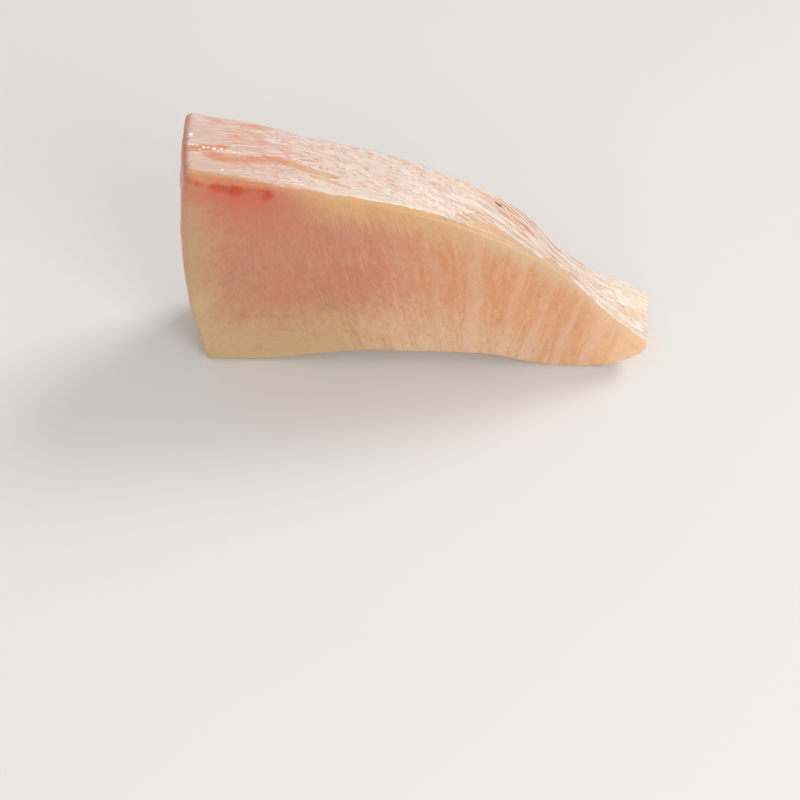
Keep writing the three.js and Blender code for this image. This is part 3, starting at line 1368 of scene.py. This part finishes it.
def ribbon(path: np.ndarray, normals: np.ndarray, widths: np.ndarray, heights: np.ndarray) -> Loft:
    """Lofts a flattened closed ring along a path.

    Args:
        path: The middle of the ribbon at each station, in millimetres.
        normals: The way up at each station.
        widths: Its width at each station.
        heights: Its height at each station.

    Returns:
        The corners, the facets and what each corner carries for the shader.
    """
    sides = RIBBON_SIDES
    turns = np.arange(sides) / sides
    ahead = np.gradient(path, axis=0)
    ahead /= np.linalg.norm(ahead, axis=1, keepdims=True)
    aside = np.cross(normals, ahead)
    out = 0.5 * widths[:, None] * np.cos(2 * math.pi * turns)
    rise = 0.5 * heights[:, None] * np.sin(2 * math.pi * turns)
    corners = path[:, None] + out[..., None] * aside[:, None] + rise[..., None] * normals[:, None]
    rows, last = len(path), (len(path) - 1) * sides
    facets = [
        (i * sides + k, i * sides + (k + 1) % sides, (i + 1) * sides + (k + 1) % sides, (i + 1) * sides + k)
        for i in range(rows - 1)
        for k in range(sides)
    ]
    facets.append(tuple(reversed(range(sides))))
    facets.append(tuple(range(last, last + sides)))
    travelled = np.append(0, np.cumsum(np.linalg.norm(np.diff(path, axis=0), axis=1)))
    carried = np.stack((np.broadcast_to(travelled[:, None], out.shape), out, rise), -1)
    return corners.reshape(-1, 3), facets, carried.reshape(-1, 3)


def join(lofts: Sequence[Loft]) -> Loft:
    """Puts lofts together into one.

    Args:
        lofts: The lofts.

    Returns:
        All their corners, facets and carried vectors.
    """
    starts = np.cumsum([0] + [len(loft[0]) for loft in lofts])
    facets = [tuple(k + start for k in facet) for start, loft in zip(starts, lofts) for facet in loft[1]]
    return np.concatenate([loft[0] for loft in lofts]), facets, np.concatenate([loft[2] for loft in lofts])


@dataclass(frozen=True)
class Fringe:
    """A stretch of the silver skin's front edge that has frayed.

    Attributes:
        along: Where it starts and ends, as shares along.
        inset: How far inside the edge its shreds are rooted, in millimetres.
        length: The shortest and longest shred in millimetres.
        count: How many shreds there are.
        lift: How far the loose ends stand off the flesh, in millimetres.
    """

    along: Span
    inset: float
    length: Span
    count: int
    lift: float = 0.15


@dataclass
class SilverSkinShreds:
    """Loose threads of silver skin along its torn edges.

    Attributes:
        host: The slice they lie on.
        finish: What they are made of.
        seed: Where their differences start from.
        fringes: The frayed stretches.
        width: Width of a shred in millimetres.
        thickness: Its thickness in millimetres.
        stations: How many points a shred is drawn through.
        clearance: How far its root stands off the flesh, in millimetres.
        scatter: Where in its place along the fringe a shred may root, as shares.
        rooting: Between how many insets from the edge it may root.
        lifting: Between how many of the fringe's lifts its end may stand off.
        splay: By what share across its end may swing.
        sway: How many times it may swing on its way.
        sway_share: By what share across it swings.
        following: How closely it may follow the fibres.
        breadth: How many widths broad it may be.
        farthest: The last share along that it may reach.
        sides: Between which shares across it keeps.
        tip: After how many lengths it would come to a point.
        root_share: How wide it is at its root, as a share.
        swelling: After what share of its length it has its full width.
        least_width: Its least width in millimetres.
        least_height: Its least height, as a share of its thickness.
    """

    host: BellySlice
    finish: Finish = field(default_factory=ShredFinish)
    seed: int = 5
    fringes: tuple[Fringe, ...] = (
        Fringe((0.5, 0.56), 0.5, (1.2, 2.6), 7, 0.2),
        Fringe((0.57, 0.66), 0.2, (1.5, 3.4), 7, 0.03),
        Fringe((0.66, 0.72), 0.5, (1.5, 4.0), 7, 0.04),
        Fringe((0.76, 0.9), 0.3, (1.0, 2.6), 15, 0.1),
        Fringe((0.9, 0.955), 0.5, (2.2, 4.2), 6, 0.12),
    )
    width: float = 0.26
    thickness: float = 0.07
    stations: int = 9
    clearance: float = 0.01
    scatter: Span = (0.1, 0.9)
    rooting: Span = (-0.4, 1.2)
    lifting: Span = (0.3, 1.2)
    splay: Span = (-0.035, 0.03)
    sway: Span = (0.5, 1.2)
    sway_share: float = 0.01
    following: Span = (0.45, 0.9)
    breadth: Span = (0.5, 1.3)
    farthest: float = 0.99
    sides: Span = (0.03, 0.95)
    tip: float = 1.02
    root_share: float = 0.5
    swelling: float = 0.3
    least_width: float = 0.03
    least_height: float = 0.3

    def shred(self, root: Span, length: float, lift: float, dice: np.random.Generator) -> Loft:
        """Makes one shred.

        Args:
            root: Where it is rooted, as shares along and across.
            length: Its length in millimetres.
            lift: How far its end stands off.
            dice: Where its small differences come from.

        Returns:
            The shred's loft.
        """
        form, skin = self.host.form, self.host.skin
        t = np.linspace(0, 1, self.stations)
        along = np.minimum(root[0] + t * length / form.length, self.farthest)
        crossed = (skin.crossing.at(along) - skin.crossing.at(along[:1])) / form.thickness
        splay = dice.uniform(*self.splay) * t * t + self.sway_share * wave(t * dice.uniform(*self.sway))
        across = np.clip(root[1] - crossed * dice.uniform(*self.following) + splay, *self.sides)
        points, normals = self.host.skin_side(along, across)
        points = points + normals * (self.clearance + lift * t * t)[:, None]
        swollen = self.root_share + (1 - self.root_share) * smooth(t, 0, self.swelling)
        taper = np.sqrt(np.clip(self.tip - t, 0, 1)) * swollen
        widths = np.maximum(self.width * dice.uniform(*self.breadth) * taper, self.least_width)
        return ribbon(points, normals, widths, self.thickness * np.maximum(taper, self.least_height))

    def build(self) -> bpy.types.Object:
        """Builds and dresses all shreds as one piece.

        Returns:
            The piece.
        """
        dice = np.random.default_rng(self.seed)
        shreds = []
        for fringe in self.fringes:
            start, end = fringe.along
            for share in (np.arange(fringe.count) + dice.uniform(*self.scatter, fringe.count)) / fringe.count:
                along = start + share * (end - start)
                edge = float(self.host.skin.front_edge.at(np.array(along)))
                across = edge + fringe.inset * dice.uniform(*self.rooting) / self.host.form.thickness
                length = dice.uniform(*fringe.length)
                lift = fringe.lift * dice.uniform(*self.lifting)
                shreds.append(self.shred((along, across), length, lift, dice))
        points, facets, carried = join(shreds)
        return make_piece("silver_skin_shreds", points, facets, {"fibre": carried}, self.finish)


@dataclass
class MoistureGlintBeads:
    """Small wet beads on the skin side, which stand in for the glints along its wet ridges: painted
    highlights.

    Attributes:
        host: The slice they lie on.
        finish: What they are made of.
        seed: Where their differences start from.
        spots: Share along, share across and radius in millimetres of each bead.
        stations: How many rings a bead is drawn through.
        stretch: How many radii its long half may be.
        skew: How far it may turn aside, for each millimetre along.
        flatness: Height of a bead over its width.
        least_girth: How narrow its two tips are, as a share of its width.
    """

    host: BellySlice
    finish: Finish = field(default_factory=BeadFinish)
    seed: int = 8
    spots: tuple[Triple, ...] = (
        (0.015, 0.6, 0.3), (0.013, 0.462, 0.15), (0.02, 0.462, 0.17), (0.028, 0.458, 0.14),
        (0.041, 0.447, 0.24), (0.05, 0.452, 0.18), (0.061, 0.443, 0.28), (0.076, 0.452, 0.22),
        (0.069, 0.42, 0.15), (0.033, 0.41, 0.13), (0.1, 0.42, 0.2), (0.111, 0.425, 0.14),
        (0.075, 0.17, 0.2), (0.088, 0.43, 0.12),
    )
    stations: int = 9
    stretch: Span = (1.0, 1.35)
    skew: Span = (-0.2, 0.2)
    flatness: float = 0.4
    least_girth: float = 0.06

    def build(self) -> bpy.types.Object:
        """Builds and dresses all beads as one piece.

        Returns:
            The piece.
        """
        dice = np.random.default_rng(self.seed)
        beads = []
        turn = np.linspace(0, math.pi, self.stations)
        for along, across, radius in self.spots:
            point, normal = self.host.skin_side(np.array([along]), np.array([across]))
            long = radius * dice.uniform(*self.stretch)
            path = point - np.cos(turn)[:, None] * long * np.array([1.0, dice.uniform(*self.skew), 0.0])
            girth = 2 * radius * np.maximum(np.sin(turn), self.least_girth)
            beads.append(ribbon(path, np.repeat(normal, len(turn), axis=0), girth, girth * self.flatness))
        points, facets, carried = join(beads)
        # One piece of painted glints, shaped as small wet beads.
        return make_piece("moisture_glint_beads", points, facets, {"fibre": carried}, self.finish)


@dataclass
class SkinFleck:
    """A dark fleck of outer skin that stayed behind near the back edge. Lengths are in millimetres.

    Attributes:
        host: The slice it lies on.
        finish: What it is made of.
        place: Its shares along and across.
        length: Its length.
        width: Its width in the middle.
        thickness: Its thickness in the middle.
        clearance: How far its middle lies above the flesh.
        stations: How many points it is drawn through.
        bluntness: How late it narrows towards its tips.
        least: How narrow its tips are, as a share of its width.
        lopsidedness: By what share one half is fuller than the other.
    """

    host: BellySlice
    finish: Finish = field(default_factory=FleckFinish)
    place: Span = (0.6345, 0.757)
    length: float = 1.35
    width: float = 0.4
    thickness: float = 0.14
    clearance: float = 0.02
    stations: int = 11
    bluntness: float = 2.5
    least: float = 0.08
    lopsidedness: float = 0.15

    def build(self) -> bpy.types.Object:
        """Builds and dresses the fleck.

        Returns:
            The piece.
        """
        form, crossing = self.host.form, self.host.skin.crossing
        t = np.linspace(-1, 1, self.stations)
        along = self.place[0] + 0.5 * t * self.length / form.length
        crossed = (crossing.at(along) - crossing.at(np.array([self.place[0]]))) / form.thickness
        points, normals = self.host.skin_side(along, self.place[1] - crossed)
        taper = np.maximum(1 - np.abs(t) ** self.bluntness, self.least) * (1 + self.lopsidedness * wave(t))
        points = points + self.clearance * normals
        points, facets, carried = ribbon(points, normals, self.width * taper, self.thickness * taper)
        return make_piece("skin_fleck", points, facets, {"fibre": carried}, self.finish)


@dataclass(frozen=True)
class SoftLight:
    """A large square light.

    Attributes:
        name: Its name.
        place: Where it hangs, in metres.
        size: Its side in metres.
        power: Its power in watts.
        colour: Its colour.
    """

    name: str
    place: Triple
    size: float
    power: float
    colour: Colour = (1.0, 1.0, 1.0)

    def hang(self, target: Vector) -> None:
        """Adds the light.

        Args:
            target: What it is turned to.
        """
        data = bpy.data.lights.new(self.name, "AREA")
        data.size, data.energy, data.color = self.size, self.power, self.colour
        lamp = show(self.name, data)
        lamp.location = self.place
        lamp.rotation_euler = (target - Vector(self.place)).to_track_quat("-Z", "Y").to_euler()


@dataclass
class Studio:
    """A pale floor, soft light and the camera.

    Attributes:
        floor_side: The floor's side in metres.
        floor_finish: What the floor is made of.
        lights: The lights.
        target: What the lights are turned to, in metres.
        world_strength: How bright the surroundings are.
        world_colour: Their colour.
        sensor_width: Width of the camera's picture in millimetres.
        focal_length: Its focal length in millimetres.
        clip: The nearest and farthest that it sees, in metres.
        camera_place: Where it stands, in metres.
        camera_pitch: How far below level it looks, in degrees.
        camera_roll: How far it is turned about its view, in degrees.
    """

    floor_side: float = 4.0
    floor_finish: Finish = field(default_factory=FloorFinish)
    lights: tuple[SoftLight, ...] = (
        SoftLight("key_light", (1.7, 1.3, 1.87), 1.2, 34.5, (1.0, 0.985, 0.96)),
        SoftLight("flap_light", (0.26, -0.32, 0.22), 0.22, 0.7),
        SoftLight("fill_light", (-0.3, -0.75, 0.5), 0.6, 1.0),
    )
    target: Triple = (0.0, 0.0, 0.015)
    world_strength: float = 0.55
    world_colour: Colour = (1.0, 0.99, 0.98)
    sensor_width: float = 36.0
    focal_length: float = 53.3
    clip: Span = (0.01, 20.0)
    camera_place: Triple = (-0.00735, -0.13126, 0.14773)
    camera_pitch: float = 51.9
    camera_roll: float = 1.415

    def build_floor(self) -> None:
        """Lays the floor."""
        half = self.floor_side / 2
        mesh = bpy.data.meshes.new("floor")
        corners = [(-half, -half, 0), (half, -half, 0), (half, half, 0), (-half, half, 0)]
        mesh.from_pydata(corners, [], [(0, 1, 2, 3)])
        mesh.materials.append(self.floor_finish.material())
        floor = show("floor", mesh)

    def build_light(self) -> None:
        """Hangs the lights and sets the pale surroundings."""
        for light in self.lights:
            light.hang(Vector(self.target))
        world = bpy.data.worlds.new("pale_surroundings")
        world.use_nodes = True
        background = world.node_tree.nodes["Background"]
        background.inputs["Color"].default_value = (*self.world_colour, 1)
        background.inputs["Strength"].default_value = self.world_strength
        bpy.context.scene.world = world
        bpy.context.scene.view_settings.view_transform = "Standard"

    def build_camera(self) -> None:
        """Sets up the camera where the photograph was taken from."""
        data = bpy.data.cameras.new("camera")
        data.sensor_width = self.sensor_width
        data.lens = self.focal_length
        data.clip_start, data.clip_end = self.clip
        level = Matrix.Rotation(math.radians(90 - self.camera_pitch), 4, "X")
        tilt = Matrix.Rotation(math.radians(-self.camera_roll), 4, "Y")
        camera = show("camera", data)
        camera.matrix_world = Matrix.Translation(self.camera_place) @ tilt @ level
        bpy.context.scene.camera = camera

    def build(self) -> None:
        """Builds the whole studio."""
        self.build_floor()
        self.build_light()
        self.build_camera()
        log.info("studio: %d lights", len(self.lights))


def main() -> None:
    """Builds the studio and the pieces."""
    logging.basicConfig(level=logging.INFO, format="%(name)s: %(message)s")
    Studio().build()
    belly = BellySlice()
    belly.build()
    SilverSkinShreds(belly).build()
    MoistureGlintBeads(belly).build()
    SkinFleck(belly).build()


if __name__ == "__main__":
    main()
